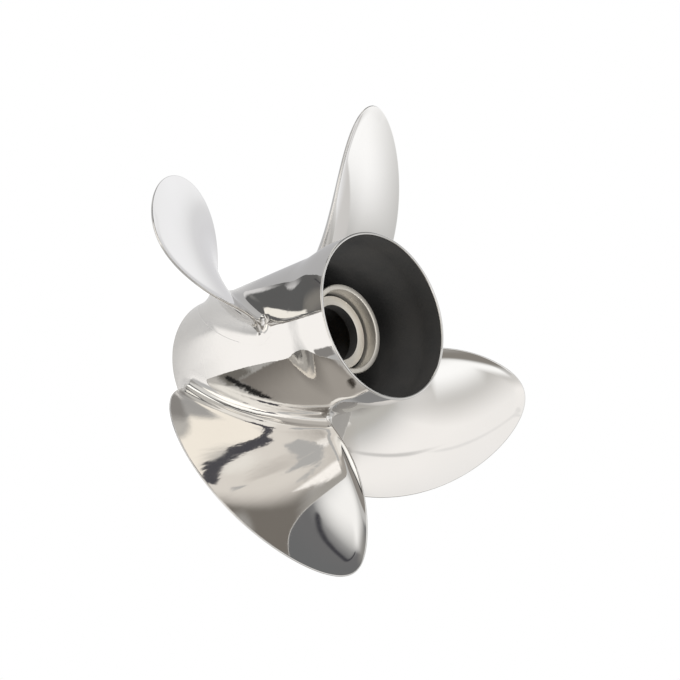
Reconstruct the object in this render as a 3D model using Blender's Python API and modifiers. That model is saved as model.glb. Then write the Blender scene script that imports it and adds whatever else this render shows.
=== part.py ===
"""Right-hand four-blade stainless steel boat propeller, with the engine's exhaust led out through its hub.

The shaft axis is +Z, with the tail of the hub up and its front end on z = 0. Metres throughout.
"""

import math

import bmesh
import bpy
from mathutils import Matrix

# Blade form
BLADES = 4
TIP_RADIUS = 0.1794
ROOT_RADIUS = 0.055
ROOT_PITCH = 0.4786
TIP_PITCH_LOSS = 0.061
HALF_CHORD = (0.0523, 0.0810, -0.0641)
SKEW = (0.0, 0.0, 0.0275, 0.0399)
RAKE = (0.0, 0.0821, -0.0617, 0.0397)
BLADE_HEIGHT = 0.0569
ROOT_THICKNESS = 0.0105
TIP_THICKNESS = 0.0030
EDGE_THICKNESS = 0.0018
CUP_DEPTH = 0.0025
CUP_START = 0.86
ROOT_FILLET = 0.012

# Hub barrel, the outer wall of the exhaust passage
HUB_LENGTH = 0.166
BARREL_RADIUS = 0.0564
RIM_RADIUS = 0.0594
FLARE_START = 0.120
FLARE_END = 0.150
BARREL_WALL = 0.0040
RIM_WALL = 0.0022
REGISTER_DEPTH = 0.005
REGISTER_RADIUS = 0.0532

# Inner tube, which carries the bush and the shaft
TUBE_RADIUS = 0.0326
TUBE_FRONT = 0.006
TUBE_REAR = 0.1286
BORE_RADIUS = 0.0265
COUNTERBORE_RADIUS = 0.0284
SHOULDER = 0.110

# Seat ring for the shaft nut's washer
RING_FACE = 0.1184
RING_HOLE = 0.0200
RING_CHAMFER = 0.0010

# Rubber bush and splined drive sleeve
BUSH_FRONT = 0.010
BUSH_REAR = 0.076
SLEEVE_FRONT = 0.008
SLEEVE_REAR = 0.078
SLEEVE_RADIUS = 0.0190
SPLINE_ROOT = 0.0156
SPLINE_TOP = 0.0141
SPLINE_TEETH = 15

# Ribs between the inner tube and the barrel
RIBS = 4
RIB_THICKNESS = 0.006
RIB_FRONT = 0.014
RIB_REAR = 0.096
RIB_NOSE = 0.0024

# Making
GAP = 0.0003
ROOT_GAP = 0.0004
CHAMFER = 0.0008
TURN_STEPS = 64
CHORD_POINTS = 17
EDGE_STEPS = (0.0, 0.15, 0.5)
FILLET_STEPS = 4
SPAN_STEPS = 14
TIP_STATION = 0.9985
CAP_ROWS = 6


def clear_scene():
    for obj in list(bpy.data.objects):
        bpy.data.objects.remove(obj, do_unlink=True)


def material(name, color, metallic, roughness):
    """A Principled material, its colour in linear RGB."""
    made = bpy.data.materials.new(name)
    made.use_nodes = True
    shader = made.node_tree.nodes["Principled BSDF"]
    shader.inputs["Base Color"].default_value = (*color, 1)
    shader.inputs["Metallic"].default_value = metallic
    shader.inputs["Roughness"].default_value = roughness
    made.diffuse_color = (*color, 1)
    return made


def add_object(name, data, finish, collection):
    obj = bpy.data.objects.new(name, data)
    obj.data.materials.append(finish)
    collection.objects.link(obj)
    return obj


def smooth(mesh, angle=30):
    mesh.shade_smooth()
    mesh.set_sharp_from_angle(angle=math.radians(angle))


def turned(name, profile, finish, collection, steps=TURN_STEPS):
    """A ring-shaped solid: a closed profile of (radius, height) points, turned about the shaft axis.

    The profile runs down its outer side and back up its inner side.
    """
    mesh = bpy.data.meshes.new(name)
    points = [(radius, 0, height) for radius, height in profile]
    edges = [(i, (i + 1) % len(points)) for i in range(len(points))]
    mesh.from_pydata(points, edges, [])
    obj = add_object(name, mesh, finish, collection)
    screw = obj.modifiers.new("Turn", "SCREW")
    screw.axis = "Z"
    screw.angle = math.tau
    screw.steps = steps
    screw.render_steps = steps
    screw.use_merge_vertices = True
    screw.merge_threshold = 0.0001
    screw.use_smooth_shade = True
    return obj


def ring_profile(inner, outer, low, high, chamfer=CHAMFER):
    """A plain ring's profile, with its four corners chamfered."""
    return [
        (outer - chamfer, high),
        (outer, high - chamfer),
        (outer, low + chamfer),
        (outer - chamfer, low),
        (inner + chamfer, low),
        (inner, low + chamfer),
        (inner, high - chamfer),
        (inner + chamfer, high),
    ]


def flare(height):
    """How far the tail flare has opened at this height, from 0 on the barrel to 1 at the rim."""
    t = min(max((height - FLARE_START) / (FLARE_END - FLARE_START), 0), 1)
    return t * t * (3 - 2 * t)


def barrel_outside(height):
    return BARREL_RADIUS + (RIM_RADIUS - BARREL_RADIUS) * flare(height)


def barrel_inside(height):
    wall = BARREL_WALL + (RIM_WALL - BARREL_WALL) * flare(height)
    return barrel_outside(height) - wall


def hub_barrel(finish, collection):
    heights = [FLARE_START + (FLARE_END - FLARE_START) * i / 6 for i in range(7)]
    down = [(barrel_outside(z), z) for z in reversed(heights)]
    up = [(barrel_inside(z), z) for z in heights]
    lip = RIM_WALL / 3
    profile = [(RIM_RADIUS - lip, HUB_LENGTH), (RIM_RADIUS, HUB_LENGTH - lip)]
    profile += down
    profile += [
        (BARREL_RADIUS, CHAMFER),
        (BARREL_RADIUS - CHAMFER, 0),
        (REGISTER_RADIUS, 0),
        (REGISTER_RADIUS, REGISTER_DEPTH),
        (BARREL_RADIUS - BARREL_WALL, REGISTER_DEPTH + CHAMFER),
    ]
    profile += up
    profile += [(RIM_RADIUS - RIM_WALL, HUB_LENGTH - lip), (RIM_RADIUS - RIM_WALL + lip, HUB_LENGTH)]
    return turned("hub_barrel", profile, finish, collection)


def hub_tube(finish, collection):
    profile = [
        (TUBE_RADIUS - CHAMFER, TUBE_REAR),
        (TUBE_RADIUS, TUBE_REAR - CHAMFER),
        (TUBE_RADIUS, TUBE_FRONT + CHAMFER),
        (TUBE_RADIUS - CHAMFER, TUBE_FRONT),
        (BORE_RADIUS + 2 * CHAMFER, TUBE_FRONT),
        (BORE_RADIUS, TUBE_FRONT + 2 * CHAMFER),
        (BORE_RADIUS, SHOULDER),
        (COUNTERBORE_RADIUS, SHOULDER),
        (COUNTERBORE_RADIUS, TUBE_REAR - CHAMFER),
        (COUNTERBORE_RADIUS + CHAMFER, TUBE_REAR),
    ]
    return turned("hub_tube", profile, finish, collection)


def seat_ring(finish, collection):
    profile = ring_profile(
        RING_HOLE, COUNTERBORE_RADIUS - GAP, SHOULDER + GAP, RING_FACE, RING_CHAMFER
    )
    return turned("seat_ring", profile, finish, collection)


def rubber_bush(finish, collection):
    profile = ring_profile(SLEEVE_RADIUS + GAP, BORE_RADIUS - GAP, BUSH_FRONT, BUSH_REAR)
    return turned("rubber_bush", profile, finish, collection)


def spline_outline():
    """The toothed outline of the sleeve's bore: each tooth has two points at its top and two at its root."""
    tooth = math.tau / SPLINE_TEETH
    steps = ((-0.34, SPLINE_ROOT), (-0.18, SPLINE_TOP), (0.18, SPLINE_TOP), (0.34, SPLINE_ROOT))
    return [
        (radius * math.cos(tooth * (n + share)), radius * math.sin(tooth * (n + share)))
        for n in range(SPLINE_TEETH)
        for share, radius in steps
    ]


def drive_sleeve(finish, collection):
    """The splined sleeve, as a flat outline with its toothed hole, extruded along the shaft."""
    sides = 4 * SPLINE_TEETH
    outside = [
        (SLEEVE_RADIUS * math.cos(math.tau * i / sides), SLEEVE_RADIUS * math.sin(math.tau * i / sides))
        for i in range(sides)
    ]
    curve = bpy.data.curves.new("drive_sleeve", "CURVE")
    curve.dimensions = "2D"
    curve.fill_mode = "BOTH"
    curve.extrude = (SLEEVE_REAR - SLEEVE_FRONT) / 2
    for outline in (outside, spline_outline()):
        spline = curve.splines.new("POLY")
        spline.points.add(len(outline) - 1)
        for point, (x, y) in zip(spline.points, outline):
            point.co = (x, y, 0, 1)
        spline.use_cyclic_u = True
    obj = add_object("drive_sleeve", curve, finish, collection)
    obj.location.z = (SLEEVE_FRONT + SLEEVE_REAR) / 2
    return obj


def rib(number, finish, collection):
    """A straight web under the middle of a blade root, with rounded ends facing the exhaust flow."""
    inside = TUBE_RADIUS + GAP
    outside = BARREL_RADIUS - BARREL_WALL - GAP
    bpy.ops.mesh.primitive_cube_add(size=1)
    obj = bpy.context.object
    obj.name = f"rib_{number + 1}"
    obj.data.name = obj.name
    size = Matrix.Diagonal((outside - inside, RIB_THICKNESS, RIB_REAR - RIB_FRONT, 1))
    place = Matrix.Translation(((inside + outside) / 2, 0, (RIB_FRONT + RIB_REAR) / 2))
    obj.data.transform(place @ size)
    obj.rotation_euler.z = math.tau * number / RIBS
    round_rib_ends(obj)
    obj.data.materials.append(finish)
    for holder in list(obj.users_collection):
        holder.objects.unlink(obj)
    collection.objects.link(obj)
    return obj


def round_rib_ends(obj):
    """Marks the four edges that cross the flow for the bevel."""
    weights = obj.data.attributes.new("bevel_weight_edge", "FLOAT", "EDGE")
    for edge in obj.data.edges:
        a, b = (obj.data.vertices[i].co for i in edge.vertices)
        weights.data[edge.index].value = float(abs(a.x - b.x) > RIB_THICKNESS)
    bevel = obj.modifiers.new("Rounded ends", "BEVEL")
    bevel.limit_method = "WEIGHT"
    bevel.width = RIB_NOSE
    bevel.segments = 3


def polynomial(coefficients, s):
    return sum(c * s**power for power, c in enumerate(coefficients))


def span_share(radius):
    """0 at the blade's root circle and 1 at its tip."""
    return (radius - ROOT_RADIUS) / (TIP_RADIUS - ROOT_RADIUS)


def edge_rounding(distance):
    """How far each side is drawn in towards the middle, this far in from a half-round edge."""
    radius = EDGE_THICKNESS / 2
    depth = min(distance / radius, 1)
    return radius * (1 - math.sqrt(1 - (1 - depth) ** 2))


def chord_distances(chord):
    """Where the section's points lie along its chord: close together round each edge, and even between."""
    edge = [share * EDGE_THICKNESS for share in EDGE_STEPS]
    between = CHORD_POINTS - 2 * len(edge)
    low = edge[-1]
    high = chord - edge[-1]
    even = [low + (high - low) * (i + 1) / (between + 1) for i in range(between)]
    return edge + even + [chord - distance for distance in reversed(edge)]


def section(radius):
    """Closed outline of the blade's section, as (along, off) points: along the helix from the leading edge,
    and off it towards the face that pushes. The first half runs along the pushing face."""
    s = span_share(radius)
    half_chord = polynomial(HALF_CHORD, s) * math.sqrt(1 - s**3)
    skew = polynomial(SKEW, s)
    thickest = ROOT_THICKNESS + (TIP_THICKNESS - ROOT_THICKNESS) * s**0.8
    cup = CUP_DEPTH * min(s / 0.35, 1) * (1 - s**4)
    face = []
    back = []
    for distance in chord_distances(2 * half_chord):
        c = distance / (2 * half_chord)
        along = skew - half_chord + distance
        curl = cup * (max(c - CUP_START, 0) / (1 - CUP_START)) ** 2
        body = EDGE_THICKNESS + (thickest - EDGE_THICKNESS) * (1 - abs(2 * c - 1) ** 2.2)
        drawn_in = edge_rounding(min(distance, 2 * half_chord - distance))
        face.append((along, curl - drawn_in))
        back.append((along, curl - body + drawn_in))
    return face + back[-2:0:-1]


def offset(outline, distance):
    """The outline moved outwards by this distance."""
    moved = []
    for i, (x, y) in enumerate(outline):
        ax, ay = outline[i - 1]
        bx, by = outline[(i + 1) % len(outline)]
        length = math.hypot(bx - ax, by - ay)
        moved.append((x - (by - ay) / length * distance, y + (bx - ax) / length * distance))
    return moved


def on_blade(along, off, radius):
    """A point of the blade's section in space, wrapped round the shaft at this radius."""
    s = span_share(radius)
    pitch = ROOT_PITCH - TIP_PITCH_LOSS * s * s
    slope = math.atan2(pitch, math.tau * radius)
    turn = (along * math.cos(slope) - off * math.sin(slope)) / radius
    height = along * math.sin(slope) + off * math.cos(slope) + polynomial(RAKE, s)
    return (radius * math.cos(turn), radius * math.sin(turn), BLADE_HEIGHT + height)


def blade_rings():
    """The blade's sections from the barrel to the tip, the first ones widened by the root fillet."""
    rings = []
    base = BARREL_RADIUS + ROOT_GAP
    for i in range(FILLET_STEPS + 1):
        turn = math.pi / 2 * i / FILLET_STEPS
        radius = base + ROOT_FILLET * (1 - math.cos(turn))
        outline = offset(section(radius), ROOT_FILLET * (1 - math.sin(turn)))
        rings.append([on_blade(x, y, radius) for x, y in outline])
    first = span_share(base + ROOT_FILLET)
    for i in range(1, SPAN_STEPS + 1):
        share = 1 - (1 - i / SPAN_STEPS) ** 1.8
        s = first + (TIP_STATION - first) * share
        radius = ROOT_RADIUS + (TIP_RADIUS - ROOT_RADIUS) * s
        rings.append([on_blade(x, y, radius) for x, y in section(radius)])
    return rings


def cap(mesh, ring, rows, radius=None):
    """Closes a section with rows of faces between its two sides, laid on a cylinder where a radius is given."""
    last = CHORD_POINTS - 1
    columns = []
    for i in range(CHORD_POINTS):
        low, high = ring[i], ring[-i]
        if i in (0, last):
            columns.append([ring[i]] * (rows + 1))
            continue
        column = [low]
        for row in range(1, rows):
            x, y, z = low.co.lerp(high.co, row / rows)
            grow = radius / math.hypot(x, y) if radius else 1
            column.append(mesh.verts.new((x * grow, y * grow, z)))
        columns.append(column + [high])
    for a, b in zip(columns, columns[1:]):
        for row in range(rows):
            corners = list(dict.fromkeys((a[row], a[row + 1], b[row + 1], b[row])))
            mesh.faces.new(corners)


def blade_mesh():
    mesh = bmesh.new()
    rings = [[mesh.verts.new(point) for point in ring] for ring in blade_rings()]
    for lower, upper in zip(rings, rings[1:]):
        for i in range(len(lower)):
            mesh.faces.new((lower[i - 1], lower[i], upper[i], upper[i - 1]))
    cap(mesh, rings[0], CAP_ROWS, BARREL_RADIUS + ROOT_GAP)
    cap(mesh, rings[-1], 1)
    bmesh.ops.recalc_face_normals(mesh, faces=mesh.faces)
    data = bpy.data.meshes.new("blade")
    mesh.to_mesh(data)
    mesh.free()
    smooth(data)
    return data


def blades(finish, collection):
    data = blade_mesh()
    for number in range(BLADES):
        obj = bpy.data.objects.new(f"blade_{number + 1}", data.copy())
        obj.data.materials.append(finish)
        obj.rotation_euler.z = math.tau * number / BLADES
        collection.objects.link(obj)


def main():
    clear_scene()
    collection = bpy.data.collections.new("propeller")
    bpy.context.scene.collection.children.link(collection)
    polished = material("polished stainless steel", (0.62, 0.60, 0.57), 1.0, 0.08)
    coated = material("black coated stainless steel", (0.02, 0.02, 0.02), 0.0, 0.55)
    machined = material("machined stainless steel", (0.60, 0.57, 0.51), 1.0, 0.30)
    rubber = material("moulded rubber", (0.015, 0.015, 0.015), 0.0, 0.75)
    brass = material("machined brass", (0.62, 0.46, 0.20), 1.0, 0.30)
    hub_barrel(polished, collection)
    blades(polished, collection)
    hub_tube(machined, collection)
    for number in range(RIBS):
        rib(number, coated, collection)
    seat_ring(machined, collection)
    rubber_bush(rubber, collection)
    drive_sleeve(brass, collection)


main()
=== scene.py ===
"""The looks of the outboard boat propeller: its mirror-buffed casting, coated exhaust passage, turned washer
seat, rubber bush and splined sleeve, in a white studio."""

import math

import bpy
import numpy as np
from mathutils import Matrix, Vector


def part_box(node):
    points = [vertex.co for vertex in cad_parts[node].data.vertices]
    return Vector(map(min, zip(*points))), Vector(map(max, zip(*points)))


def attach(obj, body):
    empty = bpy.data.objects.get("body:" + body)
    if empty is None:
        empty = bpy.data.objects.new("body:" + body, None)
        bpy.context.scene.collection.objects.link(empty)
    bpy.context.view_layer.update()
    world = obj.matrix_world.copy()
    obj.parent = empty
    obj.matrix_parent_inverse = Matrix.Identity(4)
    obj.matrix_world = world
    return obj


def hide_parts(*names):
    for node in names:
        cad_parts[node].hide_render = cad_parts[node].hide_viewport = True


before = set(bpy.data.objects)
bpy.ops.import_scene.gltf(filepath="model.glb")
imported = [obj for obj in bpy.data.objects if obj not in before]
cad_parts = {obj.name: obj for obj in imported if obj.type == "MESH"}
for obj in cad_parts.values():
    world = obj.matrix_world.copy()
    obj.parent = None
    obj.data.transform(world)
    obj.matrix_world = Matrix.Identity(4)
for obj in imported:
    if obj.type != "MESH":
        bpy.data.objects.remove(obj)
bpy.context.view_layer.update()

MM = 0.001

# Sizes read from the frame
_, barrel_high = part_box("hub_barrel")
tube_low, tube_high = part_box("hub_tube")
ring_low, ring_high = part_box("seat_ring")
bush_low, bush_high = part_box("rubber_bush")
sleeve_low, sleeve_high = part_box("drive_sleeve")
rib_low, rib_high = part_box("rib_1")
RIM_RADIUS = barrel_high.x
HUB_LENGTH = barrel_high.z
TUBE_RADIUS = tube_high.x

# Hub sizes
BARREL_RADIUS = 56.4 * MM
BARREL_WALL = 4.0 * MM
RIM_WALL = 2.2 * MM
FLARE_START = 120 * MM
FLARE_END = 150 * MM
# The barrel has a row of edges here, half-way down its straight part
STRAIGHT_MIDDLE = 60 * MM
REGISTER_DEPTH = 5 * MM
REGISTER_RADIUS = 53.2 * MM
BORE_RADIUS = 26.5 * MM
COUNTERBORE_RADIUS = 28.4 * MM
SHOULDER = 110 * MM
RING_HOLE = 20.0 * MM
SPLINE_ROOT = 15.6 * MM
SPLINE_TOP = 14.1 * MM
SPLINE_TEETH = 15
RIBS = 4
RIB_FILLET = 4 * MM
# How far a rib's ends reach into the walls
RIB_BURIED = 1.2 * MM

# Blade form: polynomials of the share of the span, from the root circle to the tip. The tip is 0.1 mm inside
# the solids', whose facets cut their outline short
BLADES = 4
ROOT_RADIUS = 55 * MM
TIP_RADIUS = 179.3 * MM
ROOT_PITCH = 478.6 * MM
TIP_PITCH_LOSS = 61 * MM
HALF_CHORD = (52.3 * MM, 81.0 * MM, -64.1 * MM)
SKEW = (0, 0, 27.5 * MM, 39.9 * MM)
RAKE = (0, 82.1 * MM, -61.7 * MM, 39.7 * MM)
BLADE_HEIGHT = 56.9 * MM
ROOT_THICKNESS = 10.5 * MM
TIP_THICKNESS = 3.0 * MM
EDGE_THICKNESS = 1.8 * MM
# How the thickness falls from the root to the tip
TAPER_POWER = 0.8
# The share of the span below which a section's edges are measured along its chord
STUB_SHARE = 0.12
# Where the blade thins towards its tip, and how fully a section's back is rounded
TIP_THINNING = 30 * MM
BACK_FULLNESS = 2.2
# The trailing edge's cup, full from this share of the span
CUP_WIDTH = 9 * MM
CUP_DEPTH = 2.5 * MM
CUP_SHARE = 0.35
ROOT_FILLET = 12 * MM
# The fillet's skirt: how far it runs out on the barrel, how thick it lies there, and how far it is sunk in
FILLET_MARGIN = 1.5 * MM
SEAM_LIFT = 0.03 * MM
SKIRT_DEPTH = 1 * MM
TIP_MARGIN = 0.25 * MM

# Mesh density
TURN_STEPS = 256
BUSH_STEPS = 128
FLOOR_SIDES = 96
OUTLINE_POINTS = 500
CHORD_POINTS = 65
FLARE_ROWS = 24
FILLET_ROWS = 14
SPAN_ROWS = 80
RIB_SIDES = 32
TOOTH_POINTS = 8

# The photograph's view: from behind and above, rolled so that the shaft points to the right. Its target is in
# metres, and its angles are in degrees
CAMERA_LENS = 70.5
CAMERA_TARGET = (41.0 * MM, 51.6 * MM, BLADE_HEIGHT)
CAMERA_DISTANCE = 1.0298
CAMERA_AZIMUTH = -123.45
CAMERA_ELEVATION = 43.06
CAMERA_ROLL = 70.36

# Studio
FLOOR_RADIUS = 120 * MM
FLOOR_FADE_START = 48 * MM
SOFT_LIGHT_SIZE = 0.9
SOFT_LIGHT_DISTANCE = 1.8
# Tones of the white room below, at and above the horizon
ROOM_LOW = (0.58, 0.58, 0.58, 1)
ROOM_MIDDLE = (0.68, 0.68, 0.67, 1)
ROOM_HIGH = (1.05, 1.05, 1.05, 1)
WHITE = (1, 1, 1, 1)
# The white room's cards, far off, each hung before the ones above it: azimuth and elevation of the card's
# centre, roll, half its width and height, and the softness of its sides and of its top and bottom, all in
# degrees, then its tone
CARDS = {
    "overhead box": (-110, 67, 6, 26, 12, 5, 10, (1.22, 1.20, 1.18)),
    "overhead shade": (-44, 62, 11, 21, 9, 18, 9, (0.74, 0.73, 0.71)),
    "side box": (-45, 52, 30, 7, 8, 2, 7, (1.34, 1.35, 1.35)),
    "cloth": (-110, 43, 10, 19, 5, 3, 3, (0.65, 0.64, 0.61)),
    "seam": (-127, 60, 60, 11, 0.8, 5, 0.6, (0.80, 0.79, 0.78)),
    "seam end": (-110, 73.5, 75, 3, 0.6, 2, 0.5, (1.04, 1.03, 1.02)),
    "near wall": (-120, 8, 0, 24, 25, 7, 6, (1.30, 1.26, 1.20)),
    "side flag": (-65, 20.5, 0, 40, 21.5, 14, 5, (0.32, 0.30, 0.275)),
    "far flag": (107, 12.5, 0, 43, 21, 3, 3, (0.19, 0.195, 0.20)),
    "flag haze": (109, 32.5, 0, 40, 5, 3, 5, (0.20, 0.20, 0.205)),
    "flag shine": (134, 24, 0, 12, 12, 10, 9, (0.38, 0.37, 0.35)),
    "far lamp": (130, 0, 49, 15, 5.5, 3, 1, (1.60, 1.58, 1.50)),
    "strip": (140, 44, 0, 18, 7, 8, 6, (1.25, 1.25, 1.24)),
    "flag rim": (107, 33.6, 20, 8, 0.5, 1, 0.4, (0.07, 0.07, 0.08)),
    "grey wall": (-171, 37, 0, 22, 16, 1, 1, (0.28, 0.26, 0.24)),
    "wall light": (-156, 36, 0, 24, 16, 18, 6, (0.62, 0.59, 0.55)),
    "wall base": (170, 2, 0, 16, 9, 4, 4, (0.88, 0.87, 0.84)),
    "wall corner": (157, 17, 15, 8, 6, 2, 2, (0.27, 0.26, 0.24)),
    "wall gap": (174, -13, 0, 12, 9, 4, 4, (0.44, 0.43, 0.42)),
    "wall end": (-140, 47, -48, 2, 3, 0.5, 2.5, (0.08, 0.07, 0.06)),
    "wall line": (172, 18.5, 15, 14, 1.2, 1, 0.5, (0.03, 0.03, 0.03)),
    "softbox": (-114.5, 30, 14, 2, 9, 1, 3, (1.80, 1.78, 1.75)),
    "upper window": (-165, 15, 6, 28, 4, 5, 3, (1.50, 1.48, 1.42)),
    "pane": (-119, 19.5, 0, 4, 4.5, 1, 0.8, (0.80, 0.81, 0.81)),
    "window": (-148, 1, 0, 24, 8, 4, 3, (1.65, 1.58, 1.45)),
    "window bar": (-136, 10.2, -4, 12, 2, 1, 0.4, (0.13, 0.13, 0.15)),
    "bar end": (-125, 7.2, -18, 7, 1.3, 1, 0.5, (0.13, 0.13, 0.15)),
    "fill": (44, 10, -45, 32, 12, 22, 7, (1.32, 1.33, 1.34)),
    "sill": (40, -8, 0, 12, 8, 3, 1, (0.78, 0.77, 0.76)),
    "low sill": (64, -36, 0, 18, 14, 5, 5, (0.78, 0.78, 0.80)),
    "back sill": (64, -7, 0, 20, 14, 4, 8, (1.12, 1.13, 1.16)),
    "front sill": (-142, -45, 0, 32, 18, 3, 5, (1.26, 1.24, 1.22)),
    "far sill": (120, -43, 0, 38, 13, 8, 6, (0.56, 0.56, 0.57)),
    "front gap": (-5, -38, 0, 22, 12, 8, 6, (0.30, 0.30, 0.30)),
    "near gap": (-104, -42, 0, 5, 7, 1, 1, (0.30, 0.29, 0.28)),
}


def polynomial(coefficients, s):
    return sum(c * s**power for power, c in enumerate(coefficients))


def span_share(radius):
    """0 at the blade's root circle and 1 at its tip."""
    return (radius - ROOT_RADIUS) / (TIP_RADIUS - ROOT_RADIUS)


def half_chord(s):
    return polynomial(HALF_CHORD, s) * np.sqrt(np.clip(1 - s**3, 0, 1))


def planform_edges():
    """The blade's developed outline, as (along, radius) points of its leading and its trailing edge."""
    s = 1 - (1 - np.linspace(0, 1, OUTLINE_POINTS)) ** 2
    radius = ROOT_RADIUS + (TIP_RADIUS - ROOT_RADIUS) * s
    skew = polynomial(SKEW, s)
    leading = np.stack([skew - half_chord(s), radius], axis=1)
    trailing = np.stack([skew + half_chord(s), radius], axis=1)
    return leading, trailing


def distance_to(line, points):
    """How far each point lies from a polyline."""
    start = line[:-1]
    step = line[1:] - start
    away = points[:, None] - start
    share = np.clip((away * step).sum(-1) / (step**2).sum(-1), 0, 1)
    gap = away - share[..., None] * step
    return np.sqrt((gap**2).sum(-1).min(axis=1))


LEADING, TRAILING = planform_edges()


def section(radius):
    """The blade's closed section outline at this radius, as (along, off) rows: along the helix from the
    leading edge, and off it towards the face that pushes."""
    s = span_share(radius)
    chord = 2 * half_chord(s)
    c = (1 - np.cos(np.pi * np.arange(CHORD_POINTS) / (CHORD_POINTS - 1))) / 2
    along = polynomial(SKEW, s) + chord * (c - 0.5)
    points = np.stack([along, np.full_like(along, radius)], axis=1)
    from_trailing = distance_to(TRAILING, points)
    from_edge = np.minimum(distance_to(LEADING, points), from_trailing)
    if s < STUB_SHARE:
        from_trailing = (1 - c) * chord
        from_edge = np.minimum(c, 1 - c) * chord
    thickest = ROOT_THICKNESS + (TIP_THICKNESS - ROOT_THICKNESS) * max(s, 0) ** TAPER_POWER
    near_tip = min((TIP_RADIUS - radius) / TIP_THINNING, 1)
    swell = (thickest - EDGE_THICKNESS) * (1 - (1 - near_tip) ** 2)
    body = EDGE_THICKNESS + swell * (1 - np.abs(2 * c - 1) ** BACK_FULLNESS)
    depth = np.clip(from_edge / (EDGE_THICKNESS / 2), 0, 1)
    drawn_in = EDGE_THICKNESS / 2 * (1 - np.sqrt(1 - (1 - depth) ** 2))
    cup = CUP_DEPTH * min(max(s, 0) / CUP_SHARE, 1) * (1 - max(s, 0) ** 4)
    curl = cup * np.clip(1 - from_trailing / CUP_WIDTH, 0, 1) ** 2
    face = np.stack([along, curl - drawn_in], axis=1)
    back = np.stack([along, curl - body + drawn_in], axis=1)
    return np.concatenate([face, back[-2:0:-1]])


def offset(outline, distance):
    """The outline moved outwards by this distance."""
    span = np.roll(outline, -1, axis=0) - np.roll(outline, 1, axis=0)
    span /= np.linalg.norm(span, axis=1, keepdims=True)
    return outline + distance * np.stack([-span[:, 1], span[:, 0]], axis=1)


def on_blade(outline, radius):
    """The outline wrapped round the shaft at this radius, on the blade's helix."""
    s = span_share(radius)
    pitch = ROOT_PITCH - TIP_PITCH_LOSS * s * s
    slope = math.atan2(pitch, math.tau * radius)
    along, off = outline.T
    turn = (along * math.cos(slope) - off * math.sin(slope)) / radius
    height = BLADE_HEIGHT + polynomial(RAKE, s) + along * math.sin(slope) + off * math.cos(slope)
    return np.stack([radius * np.cos(turn), radius * np.sin(turn), height], axis=1)


def blade_rows():
    """Section outlines from inside the barrel's wall to the tip: a skirt that lies on the barrel, the root
    fillet, and the blade."""
    skirt = ROOT_FILLET + FILLET_MARGIN
    base = BARREL_RADIUS + SEAM_LIFT
    rows = [(BARREL_RADIUS - SKIRT_DEPTH, skirt), (base, skirt), (base, skirt - FILLET_MARGIN / 2)]
    for i in range(FILLET_ROWS + 1):
        turn = math.pi / 2 * i / FILLET_ROWS
        rows.append((base + ROOT_FILLET * (1 - math.cos(turn)), ROOT_FILLET * (1 - math.sin(turn))))
    first = base + ROOT_FILLET
    last = TIP_RADIUS - TIP_MARGIN
    for i in range(1, SPAN_ROWS + 1):
        share = 1 - (1 - i / SPAN_ROWS) ** 2
        rows.append((first + (last - first) * share, 0))
    return [on_blade(offset(section(radius), grow), radius) for radius, grow in rows]


def deselect_all():
    if bpy.context.object and bpy.context.object.mode != "OBJECT":
        bpy.ops.object.mode_set(mode="OBJECT")
    bpy.ops.object.select_all(action="DESELECT")


def hexa(color):
    """Linear RGBA of an sRGB hex colour."""
    values = [int(color[i : i + 2], 16) / 255 for i in (1, 3, 5)]
    return tuple(v / 12.92 if v <= 0.04045 else ((v + 0.055) / 1.055) ** 2.4 for v in values) + (1,)


def add_node(tree, kind, settings=None, links=None):
    """One shader node, with its settings by attribute or socket, and its links by socket."""
    node = tree.nodes.new(kind)
    for key, value in (settings or {}).items():
        if isinstance(key, str) and hasattr(node, key):
            setattr(node, key, value)
        else:
            node.inputs[key].default_value = value
    for key, output in (links or {}).items():
        tree.links.new(output, node.inputs[key])
    return node


# Sockets of the Mix node for colours, and of the Map Range node for vectors
MIX_A, MIX_B, MIX_OUT = 6, 7, 2
RANGE_VECTOR, RANGE_LOW, RANGE_HIGH, RANGE_START, RANGE_END = 6, 7, 8, 9, 10


def mix(tree, share, first, second):
    """A colour between two others, each of them linear RGBA or another node's colour."""
    settings, links = {"data_type": "RGBA"}, {0: share}
    for socket, colour in ((MIX_A, first), (MIX_B, second)):
        kept = settings if isinstance(colour, tuple) else links
        kept[socket] = colour
    return add_node(tree, "ShaderNodeMix", settings, links).outputs[MIX_OUT]


def spread(tree, value, low, high, start=0, end=1, kind="LINEAR"):
    """From low to high as the value goes from start to end, and held there beyond them."""
    settings = {"interpolation_type": kind, "From Min": start, "From Max": end, "To Min": low, "To Max": high}
    return add_node(tree, "ShaderNodeMapRange", settings, {"Value": value}).outputs["Result"]


def math_node(tree, operation, first, second):
    return add_node(tree, "ShaderNodeMath", {"operation": operation}, {0: first, 1: second}).outputs[0]


def grain(tree, place, size, socket="Vector", **settings):
    """Noise whose grains are about this long, in metres."""
    settings["Scale"] = 1 / size
    return add_node(tree, "ShaderNodeTexNoise", settings, {socket: place}).outputs["Fac"]


def raised(tree, height, distance, normal=None):
    """The normal of a surface that stands this far proud where the height is 1."""
    links = {"Height": height}
    if normal is not None:
        links["Normal"] = normal
    return add_node(tree, "ShaderNodeBump", {"Strength": 1, "Distance": distance}, links).outputs["Normal"]


def new_material(name):
    """A material with its node tree, and the place on the surface in metres."""
    made = bpy.data.materials.new(name)
    made.use_nodes = True
    place = add_node(made.node_tree, "ShaderNodeTexCoord").outputs["Object"]
    return made, made.node_tree, place


def set_surface(tree, tint, gloss, normal, metallic=0):
    shader = tree.nodes["Principled BSDF"]
    for socket, output in (("Base Color", tint), ("Roughness", gloss), ("Normal", normal)):
        tree.links.new(output, shader.inputs[socket])
    shader.inputs["Metallic"].default_value = metallic
    return shader


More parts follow.
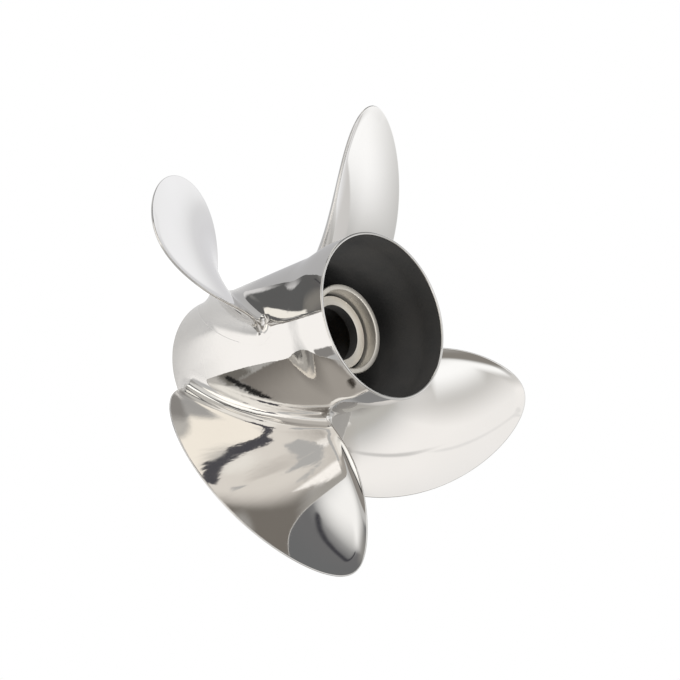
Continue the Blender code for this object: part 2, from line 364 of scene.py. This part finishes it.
def shaft_distance(tree, place):
    """The distance from the shaft's axis, and the height along it, of a place on the surface."""
    parts = add_node(tree, "ShaderNodeSeparateXYZ", links={"Vector": place}).outputs
    flat = add_node(tree, "ShaderNodeCombineXYZ", links={"X": parts["X"], "Y": parts["Y"]})
    radius = add_node(tree, "ShaderNodeVectorMath", {"operation": "LENGTH"}, {0: flat.outputs[0]})
    return radius.outputs["Value"], parts["Z"]


def polished_steel():
    """Stainless steel, investment cast, ground and then buffed by hand to a mirror. Reflections are sharp,
    but waver where the wheel followed the surface by feel, most of all round the blade roots, and faint
    buffing lines run round the shaft."""
    made, tree, place = new_material("cast_stainless_mirror_buffed")
    radius, height = shaft_distance(tree, place)
    tint = mix(tree, grain(tree, place, 45 * MM, Detail=2), hexa("#dad8d5"), hexa("#dfdddb"))

    # The buffing lines are 0.2 mm apart on the real one, and are drawn 1.5 mm apart so that they show
    ring = add_node(tree, "ShaderNodeCombineXYZ", links={"X": radius, "Y": height}).outputs[0]
    lines = grain(tree, ring, 1.5 * MM, noise_dimensions="2D", Detail=3, Roughness=0.6)
    gloss = spread(tree, lines, 0.02, 0.05, 0.35, 0.7)

    # Hand-ground waves about 16 mm long all over, and short ones of 5 mm where the wheel turned at the roots
    broad = raised(tree, grain(tree, place, 16 * MM, Detail=1), 0.012 * MM)
    near_root = spread(tree, radius, 1, 0, 66 * MM, 84 * MM)
    short = math_node(tree, "MULTIPLY", grain(tree, place, 5 * MM, Detail=2), near_root)
    set_surface(tree, tint, gloss, raised(tree, short, 0.04 * MM, broad), metallic=1)
    return made


def machined_steel():
    """The same casting turned on a lathe and left so: a warm grey satin with fine rings round the shaft, and
    slightly matt."""
    made, tree, place = new_material("stainless_fine_turned")
    radius, height = shaft_distance(tree, place)
    # The tool's feed is 0.15 mm, and its rings are drawn 0.7 mm apart so that they show
    feed = math_node(tree, "ADD", radius, height)
    rings = grain(tree, feed, 0.7 * MM, socket="W", noise_dimensions="1D", Detail=3, Roughness=0.7)
    tint = mix(tree, rings, hexa("#cec8be"), hexa("#f2eee6"))
    gloss = spread(tree, rings, 0.42, 0.3, 0.3, 0.7)
    set_surface(tree, tint, gloss, raised(tree, rings, 0.03 * MM), metallic=0.88)
    return made


def black_coating():
    """A black baked coating on the cast exhaust passage: matt charcoal with an orange-peel grain and a few
    paler, drier patches."""
    made, tree, place = new_material("black_baked_coating")
    patches = spread(tree, grain(tree, place, 22 * MM, Detail=4, Roughness=0.6), 0, 1, 0.35, 0.7)
    tint = mix(tree, patches, hexa("#303030"), hexa("#363534"))
    gloss = spread(tree, patches, 0.5, 0.66)
    # The peel is 0.8 mm across, and is drawn at 1.4 mm
    peel = raised(tree, grain(tree, place, 1.4 * MM, Detail=2), 0.06 * MM)
    shader = set_surface(tree, tint, gloss, peel)
    shader.inputs["Specular IOR Level"].default_value = 0.3
    return made


def bush_rubber():
    """Moulded nitrile rubber: nearly black, matt, with a bloom of grey."""
    made, tree, place = new_material("moulded_nitrile_rubber")
    bloom = grain(tree, place, 6 * MM, Detail=5, Roughness=0.65)
    tint = mix(tree, bloom, hexa("#303030"), hexa("#424241"))
    set_surface(tree, tint, spread(tree, bloom, 0.62, 0.82), raised(tree, bloom, 0.1 * MM))
    return made


def sleeve_brass():
    """Brass, turned outside and broached inside: a warm yellow with the broach's long straight lines."""
    made, tree, place = new_material("broached_brass")
    # Lines 0.6 mm apart and 40 mm long, along the shaft
    stretched = add_node(tree, "ShaderNodeMapping", {"Scale": (1, 1, 0.6 / 40)}, {"Vector": place})
    lines = grain(tree, stretched.outputs[0], 0.6 * MM, Detail=2)
    tint = mix(tree, lines, hexa("#a9853f"), hexa("#d9b568"))
    set_surface(tree, tint, spread(tree, lines, 0.36, 0.22), raised(tree, lines, 0.02 * MM), metallic=1)
    return made


def finish_piece(piece, materials, node, angle=40):
    """Applies the piece's place, shades it, gives it its materials and puts it in its node's place."""
    bpy.ops.object.transform_apply(location=True, rotation=True, scale=True)
    for made in materials:
        piece.data.materials.append(made)
    bpy.ops.object.shade_smooth_by_angle(angle=math.radians(angle))
    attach(piece, "root")
    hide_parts(node)


def copy_round(piece, number, count, name, node):
    """A copy of the first piece, with its own mesh, turned to its place round the shaft."""
    deselect_all()
    twin = bpy.data.objects.new(name, piece.data.copy())
    twin.data.name = name
    bpy.context.scene.collection.objects.link(twin)
    twin.data.transform(Matrix.Rotation(math.tau * number / count, 4, "Z"))
    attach(twin, "root")
    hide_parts(node)


def turned(name, profile, steps=TURN_STEPS):
    """A ring turned from its closed profile of (radius, height) points: a circle, extruded and scaled from
    point to point."""
    deselect_all()
    radius, height = profile[0]
    bpy.ops.mesh.primitive_circle_add(vertices=steps, radius=radius, location=(0, 0, height))
    piece = bpy.context.object
    piece.name = piece.data.name = name
    bpy.ops.object.mode_set(mode="EDIT")
    bpy.ops.mesh.select_all(action="SELECT")
    for (r0, z0), (r1, z1) in zip(profile, profile[1:] + profile[:1]):
        bpy.ops.mesh.extrude_edges_move(TRANSFORM_OT_translate={"value": (0, 0, z1 - z0)})
        bpy.ops.transform.resize(value=(r1 / r0, r1 / r0, 1), center_override=(0, 0, z1))
    bpy.ops.mesh.select_all(action="SELECT")
    bpy.ops.mesh.remove_doubles(threshold=0.005 * MM)
    bpy.ops.mesh.normals_make_consistent(inside=False)
    bpy.ops.object.mode_set(mode="OBJECT")
    return piece


def round_corner(center, radius, start, end, steps=4):
    """Points of an arc in the profile plane, from one angle to another in degrees."""
    angles = [math.radians(start + (end - start) * i / steps) for i in range(steps + 1)]
    return [(center[0] + radius * math.cos(a), center[1] + radius * math.sin(a)) for a in angles]


def flare(height):
    t = min(max((height - FLARE_START) / (FLARE_END - FLARE_START), 0), 1)
    return t * t * (3 - 2 * t)


def barrel_outside(height):
    return BARREL_RADIUS + (RIM_RADIUS - BARREL_RADIUS) * flare(height)


def barrel_inside(height):
    return barrel_outside(height) - (BARREL_WALL + (RIM_WALL - BARREL_WALL) * flare(height))


def paint_faces(piece, index, wanted):
    """Gives a material slot to the faces whose radius, height and outward slope pass the test."""
    for face in piece.data.polygons:
        radius = math.hypot(face.center.x, face.center.y)
        outward = (face.normal.x * face.center.x + face.normal.y * face.center.y) / max(radius, MM)
        if wanted(radius, face.center.z, outward):
            face.material_index = index


def barrel():
    heights = [FLARE_START + (FLARE_END - FLARE_START) * i / FLARE_ROWS for i in range(FLARE_ROWS + 1)]
    lip = RIM_WALL / 2
    lip_middle = (RIM_RADIUS - lip, HUB_LENGTH - lip)
    edge = 0.8 * MM
    chamfer = 0.4 * MM
    profile = round_corner(lip_middle, lip, 180, 0, 10)
    profile += [(barrel_outside(z), z) for z in reversed(heights)]
    profile += [(BARREL_RADIUS, STRAIGHT_MIDDLE)]
    profile += round_corner((BARREL_RADIUS - edge, edge), edge, 0, -90, 5)
    profile += [(REGISTER_RADIUS + chamfer, 0), (REGISTER_RADIUS, chamfer)]
    profile += [(REGISTER_RADIUS, REGISTER_DEPTH), (BARREL_RADIUS - BARREL_WALL, REGISTER_DEPTH + edge)]
    profile += [(barrel_inside(z), z) for z in heights]
    piece = turned("barrel", profile)
    finish_piece(piece, [STEEL, COATING], "hub_barrel")
    paint_faces(piece, 1, lambda r, z, out: out < 0 and REGISTER_DEPTH < z < HUB_LENGTH - lip)


def inner_tube():
    edge = 0.9 * MM
    chamfer = 1.6 * MM
    lip = TUBE_RADIUS - COUNTERBORE_RADIUS
    low, top = tube_low.z, tube_high.z
    profile = round_corner((TUBE_RADIUS - edge, top - edge), edge, 90, 0)
    profile += round_corner((TUBE_RADIUS - edge, low + edge), edge, 0, -90)
    profile += [(BORE_RADIUS + chamfer, low), (BORE_RADIUS, low + chamfer)]
    profile += [(BORE_RADIUS, SHOULDER), (COUNTERBORE_RADIUS, SHOULDER)]
    profile += round_corner((COUNTERBORE_RADIUS + edge, top - edge), edge, 180, 90)
    piece = turned("inner_tube", profile)
    finish_piece(piece, [MACHINED, COATING], "hub_tube")
    paint_faces(piece, 1, lambda r, z, out: out > 0.5 and low + edge < z < top - lip)
    paint_faces(piece, 1, lambda r, z, out: out < -0.5 and r < COUNTERBORE_RADIUS - MM and z > low + chamfer)


def washer_seat():
    """The ring that the washer sits on. The coating lies in its hole. On its chamfer and outer side, in the
    joint, the coating is painted shade: the dark line of the groove round the ring.
    """
    chamfer = 1.6 * MM
    corner = 0.5 * MM
    outer = ring_high.x
    low, high = ring_low.z, ring_high.z
    profile = [(outer - chamfer, high), (outer, high - chamfer), (outer, low), (RING_HOLE, low)]
    profile += round_corner((RING_HOLE + corner, high - corner), corner, 180, 90)
    piece = turned("washer_seat", profile)
    finish_piece(piece, [MACHINED, COATING], "seat_ring")
    # The coating on the chamfer and outer side (r > outer - chamfer) is painted shade, the dark line of the
    # joint's groove
    paint_faces(piece, 1, lambda r, z, out: out < -0.9 or z < low + 0.1 * MM or r > outer - chamfer)


def bush():
    inner, outer = sleeve_high.x + 0.1 * MM, bush_high.x
    low, high = bush_low.z, bush_high.z
    edge = 1.5 * MM
    groove = 1.2 * MM
    middle = (inner + outer) / 2
    profile = round_corner((outer - edge, high - edge), edge, 90, 0)
    profile += round_corner((outer - edge, low + edge), edge, 0, -90)
    profile += round_corner((middle, low), groove, 0, 180, 8)
    profile += [(inner, low), (inner, high)]
    profile += round_corner((middle, high), groove, 180, 360, 8)
    piece = turned("bush", profile, BUSH_STEPS)
    finish_piece(piece, [RUBBER], "rubber_bush")


def tooth_depth(share):
    """How far the sleeve's bore stands in at this share of a tooth's pitch, 0 at the root and 1 at the top:
    the tooth is two thirds of its pitch wide at its root, and its flanks slope."""
    root_half, flank = 0.34, 0.14
    return min(max((root_half - abs(share - 0.5)) / flank, 0), 1)


def sleeve():
    """The splined sleeve: a turned ring whose bore is drawn in, tooth by tooth."""
    low, high, outer = sleeve_low.z, sleeve_high.z, sleeve_high.x
    edge = 0.8 * MM
    profile = [(outer - edge, high), (outer, high - edge), (outer, low + edge), (outer - edge, low)]
    profile += [(SPLINE_ROOT + edge, low), (SPLINE_ROOT, low + edge)]
    profile += [(SPLINE_ROOT, high - edge), (SPLINE_ROOT + edge, high)]
    points = SPLINE_TEETH * TOOTH_POINTS
    piece = turned("splined_sleeve", profile, points)
    tooth = math.tau / SPLINE_TEETH
    bpy.ops.object.mode_set(mode="EDIT")
    bpy.ops.mesh.select_mode(type="VERT")
    for step in range(TOOTH_POINTS):
        depth = tooth_depth((step + 0.5) / TOOTH_POINTS)
        if depth == 0:
            continue
        bpy.ops.mesh.select_all(action="DESELECT")
        bpy.ops.object.mode_set(mode="OBJECT")
        for vertex in piece.data.vertices:
            share = math.atan2(vertex.co.y, vertex.co.x) / tooth % 1 * TOOTH_POINTS
            in_bore = math.hypot(vertex.co.x, vertex.co.y) < SPLINE_ROOT + edge / 2
            vertex.select = in_bore and int(round(share)) % TOOTH_POINTS == step
        bpy.ops.object.mode_set(mode="EDIT")
        drawn = 1 - depth * (1 - SPLINE_TOP / SPLINE_ROOT)
        bpy.ops.transform.resize(value=(drawn, drawn, 1), center_override=(0, 0, 0))
    bpy.ops.object.mode_set(mode="OBJECT")
    finish_piece(piece, [BRASS], "drive_sleeve")


def rib_steps(inner, outer):
    """Places along a rib from the tube to the barrel, and how far its outline has grown there: both ends open
    out in a cast fillet and are buried in the wall."""
    turns = [math.pi / 2 * i / 8 for i in range(9)]
    near = [(RIB_FILLET * (1 - math.cos(t)), RIB_FILLET * (1 - math.sin(t))) for t in turns]
    steps = [(inner - RIB_BURIED, RIB_FILLET)]
    steps += [(inner + x, grow) for x, grow in near]
    steps += [(outer - x, grow) for x, grow in reversed(near)]
    return steps + [(outer + RIB_BURIED, RIB_FILLET)]


def ribs():
    """Webs from the tube to the barrel: one outline with round noses, extruded outwards in steps."""
    deselect_all()
    nose = (rib_high.y - rib_low.y) / 2
    half = (rib_high.z - rib_low.z) / 2 - nose
    middle = (rib_high.z + rib_low.z) / 2
    steps = rib_steps(TUBE_RADIUS, BARREL_RADIUS - BARREL_WALL)
    bpy.ops.mesh.primitive_circle_add(vertices=RIB_SIDES, radius=nose)
    piece = bpy.context.object
    piece.name = piece.data.name = "cast_rib_1"
    bpy.ops.object.mode_set(mode="EDIT")
    bpy.ops.mesh.select_all(action="SELECT")
    bpy.ops.transform.rotate(value=math.pi / RIB_SIDES, orient_axis="Z", center_override=(0, 0, 0))
    bpy.ops.transform.rotate(value=math.pi / 2, orient_axis="Y", center_override=(0, 0, 0))
    bpy.ops.object.mode_set(mode="OBJECT")
    for vertex in piece.data.vertices:
        vertex.co.z += half if vertex.co.z > 0 else -half
    bpy.ops.object.mode_set(mode="EDIT")
    bpy.ops.mesh.select_all(action="SELECT")
    x, grown = steps[0]
    bpy.ops.transform.translate(value=(x, 0, middle))
    wide, tall = nose, nose + half
    scale = (1, (wide + grown) / wide, (tall + grown) / tall)
    bpy.ops.transform.resize(value=scale, center_override=(x, 0, middle))
    for (x0, g0), (x1, g1) in zip(steps, steps[1:]):
        bpy.ops.mesh.extrude_edges_move(TRANSFORM_OT_translate={"value": (x1 - x0, 0, 0)})
        scale = (1, (wide + g1) / (wide + g0), (tall + g1) / (tall + g0))
        bpy.ops.transform.resize(value=scale, center_override=(x1, 0, middle))
    bpy.ops.mesh.select_all(action="DESELECT")
    bpy.ops.mesh.select_non_manifold()
    bpy.ops.mesh.edge_face_add()
    bpy.ops.mesh.select_all(action="SELECT")
    bpy.ops.mesh.normals_make_consistent(inside=False)
    bpy.ops.object.mode_set(mode="OBJECT")
    finish_piece(piece, [COATING], "rib_1", angle=50)
    for number in range(1, RIBS):
        copy_round(piece, number, RIBS, f"cast_rib_{number + 1}", f"rib_{number + 1}")


def blades():
    """The first blade is a grid whose rows become its sections, with the seam merged and both ends closed.
    The others are copies of it."""
    deselect_all()
    rows = blade_rows()
    around = len(rows[0])
    bpy.ops.mesh.primitive_grid_add(x_subdivisions=around, y_subdivisions=len(rows) - 1, size=TIP_RADIUS)
    piece = bpy.context.object
    piece.name = piece.data.name = "blade_skin_1"
    wrapped = np.array([np.concatenate([row, row[:1]]) for row in rows])
    piece.data.vertices.foreach_set("co", wrapped.astype(np.float32).ravel())
    bpy.ops.object.mode_set(mode="EDIT")
    bpy.ops.mesh.select_all(action="SELECT")
    bpy.ops.mesh.remove_doubles(threshold=0.0005 * MM)
    bpy.ops.mesh.select_all(action="DESELECT")
    bpy.ops.mesh.select_non_manifold()
    bpy.ops.mesh.edge_face_add()
    bpy.ops.mesh.select_all(action="SELECT")
    bpy.ops.mesh.normals_make_consistent(inside=False)
    bpy.ops.object.mode_set(mode="OBJECT")
    finish_piece(piece, [STEEL], "blade_1", angle=60)
    for number in range(1, BLADES):
        copy_round(piece, number, BLADES, f"blade_skin_{number + 1}", f"blade_{number + 1}")


def toward(azimuth, elevation):
    """The direction of an azimuth and an elevation in degrees."""
    a, e = math.radians(azimuth), math.radians(elevation)
    return Vector((math.cos(a) * math.cos(e), math.sin(a) * math.cos(e), math.sin(e)))


def camera():
    made = bpy.data.cameras.new("camera")
    made.lens = CAMERA_LENS
    made.sensor_width = 36
    made.clip_start = 0.05
    made.clip_end = 20
    obj = bpy.data.objects.new("camera", made)
    bpy.context.scene.collection.objects.link(obj)
    back = toward(CAMERA_AZIMUTH, CAMERA_ELEVATION)
    roll = Matrix.Rotation(math.radians(CAMERA_ROLL), 3, "Z")
    turn = (-back).to_track_quat("-Z", "Y").to_matrix() @ roll
    obj.matrix_world = Matrix.Translation(Vector(CAMERA_TARGET) + back * CAMERA_DISTANCE) @ turn.to_4x4()
    bpy.context.scene.camera = obj


def hang_card(tree, direction, behind, card):
    """Mixes a far-off card over what is behind it, for directions that meet the card."""
    azimuth, elevation, roll, wide, tall, soft_sides, soft_ends, tone = card
    ahead = toward(azimuth, elevation)
    side = Matrix.Rotation(math.radians(roll), 3, ahead) @ toward(azimuth + 90, 0)
    turn = Matrix((ahead, side, ahead.cross(side))).to_euler()
    within, beyond = [0.9], [1.0]
    for reach, soft in ((wide, soft_sides), (tall, soft_ends)):
        within.append(math.sin(math.radians(reach - soft)))
        beyond.append(math.sin(math.radians(reach + soft)))
    # How far the direction is from the card's centre: behind it, to its sides, and to its top and bottom
    settings = {"Location": (-1, 0, 0), "Rotation": turn}
    seen = add_node(tree, "ShaderNodeMapping", settings, {"Vector": direction})
    away = add_node(tree, "ShaderNodeVectorMath", {"operation": "ABSOLUTE"}, {0: seen.outputs[0]})
    inside = add_node(tree, "ShaderNodeMapRange",
                      {"data_type": "FLOAT_VECTOR", "interpolation_type": "SMOOTHSTEP", RANGE_LOW: within,
                       RANGE_HIGH: beyond, RANGE_START: (1, 1, 1), RANGE_END: (0, 0, 0)},
                      {RANGE_VECTOR: away.outputs[0]})
    total = add_node(tree, "ShaderNodeVectorMath", {"operation": "DOT_PRODUCT", 1: (1, 1, 1)},
                     {0: inside.outputs["Vector"]})
    cover = add_node(tree, "ShaderNodeMath", {"operation": "SUBTRACT", "use_clamp": True, 1: 2},
                     {0: total.outputs["Value"]})
    return mix(tree, cover.outputs[0], behind, (*tone, 1))


def surroundings():
    """A white room, darker below and paler overhead, with the studio's cards in it. The camera itself sees
    plain white."""
    world = bpy.data.worlds.new("white_room")
    bpy.context.scene.world = world
    world.use_nodes = True
    tree = world.node_tree
    direction = add_node(tree, "ShaderNodeTexCoord").outputs["Generated"]
    height = add_node(tree, "ShaderNodeSeparateXYZ", links={"Vector": direction}).outputs["Z"]
    room = ROOM_MIDDLE
    for start, end, tone in ((-5, -25, ROOM_LOW), (50, 75, ROOM_HIGH)):
        heights = math.sin(math.radians(start)), math.sin(math.radians(end))
        share = spread(tree, height, 0, 1, *heights, kind="SMOOTHSTEP")
        room = mix(tree, share, room, tone)
    for card in CARDS.values():
        room = hang_card(tree, direction, room, card)
    seen = add_node(tree, "ShaderNodeLightPath").outputs["Is Camera Ray"]
    tree.links.new(mix(tree, seen, room, WHITE), tree.nodes["Background"].inputs["Color"])


def floor():
    """A round white floor that fades out at its edge, and can be seen through from below. The camera sees it
    burnt out to white, and the metal sees it in a soft shade."""
    deselect_all()
    bpy.ops.mesh.primitive_circle_add(vertices=FLOOR_SIDES, radius=FLOOR_RADIUS, fill_type="NGON")
    disc = bpy.context.object
    disc.name = "floor"
    made, tree, place = new_material("white_paper_floor")
    shader = tree.nodes["Principled BSDF"]
    seen = add_node(tree, "ShaderNodeLightPath").outputs["Is Camera Ray"]
    for socket, to_metal, to_camera in (("Base Color", 0.3, 0.25), ("Emission Strength", 0.55, 0.9)):
        tree.links.new(spread(tree, seen, to_metal, to_camera), shader.inputs[socket])
    shader.inputs["Emission Color"].default_value = WHITE
    shader.inputs["Roughness"].default_value = 1
    shader.inputs["Specular IOR Level"].default_value = 0
    radius, _ = shaft_distance(tree, place)
    fade = spread(tree, radius, 1, 0, FLOOR_FADE_START, FLOOR_RADIUS, kind="SMOOTHSTEP")
    below = add_node(tree, "ShaderNodeNewGeometry").outputs["Backfacing"]
    above = spread(tree, below, 1, 0)
    tree.links.new(math_node(tree, "MULTIPLY", fade, above), shader.inputs["Alpha"])
    disc.data.materials.append(made)


def soft_light(name, azimuth, elevation, power):
    """A round soft box that lights the coating and the other matt surfaces. Neither the camera nor the mirror
    finish sees it."""
    made = bpy.data.lights.new(name, "AREA")
    made.shape = "DISK"
    made.size = SOFT_LIGHT_SIZE
    made.energy = power
    made.color = (1.0, 0.99, 0.97)
    obj = bpy.data.objects.new(name, made)
    bpy.context.scene.collection.objects.link(obj)
    away = toward(azimuth, elevation)
    turn = away.to_track_quat("Z", "Y").to_matrix().to_4x4()
    obj.matrix_world = Matrix.Translation(away * SOFT_LIGHT_DISTANCE) @ turn
    obj.visible_camera = False
    obj.visible_glossy = False


STEEL = polished_steel()
MACHINED = machined_steel()
COATING = black_coating()
RUBBER = bush_rubber()
BRASS = sleeve_brass()

bpy.context.scene.view_settings.view_transform = "Standard"
bpy.context.scene.view_settings.look = "None"
camera()
surroundings()
floor()
soft_light("key", -40, 42, 48)
soft_light("side_light", 160, 50, 30)
barrel()
inner_tube()
washer_seat()
bush()
sleeve()
ribs()
blades()
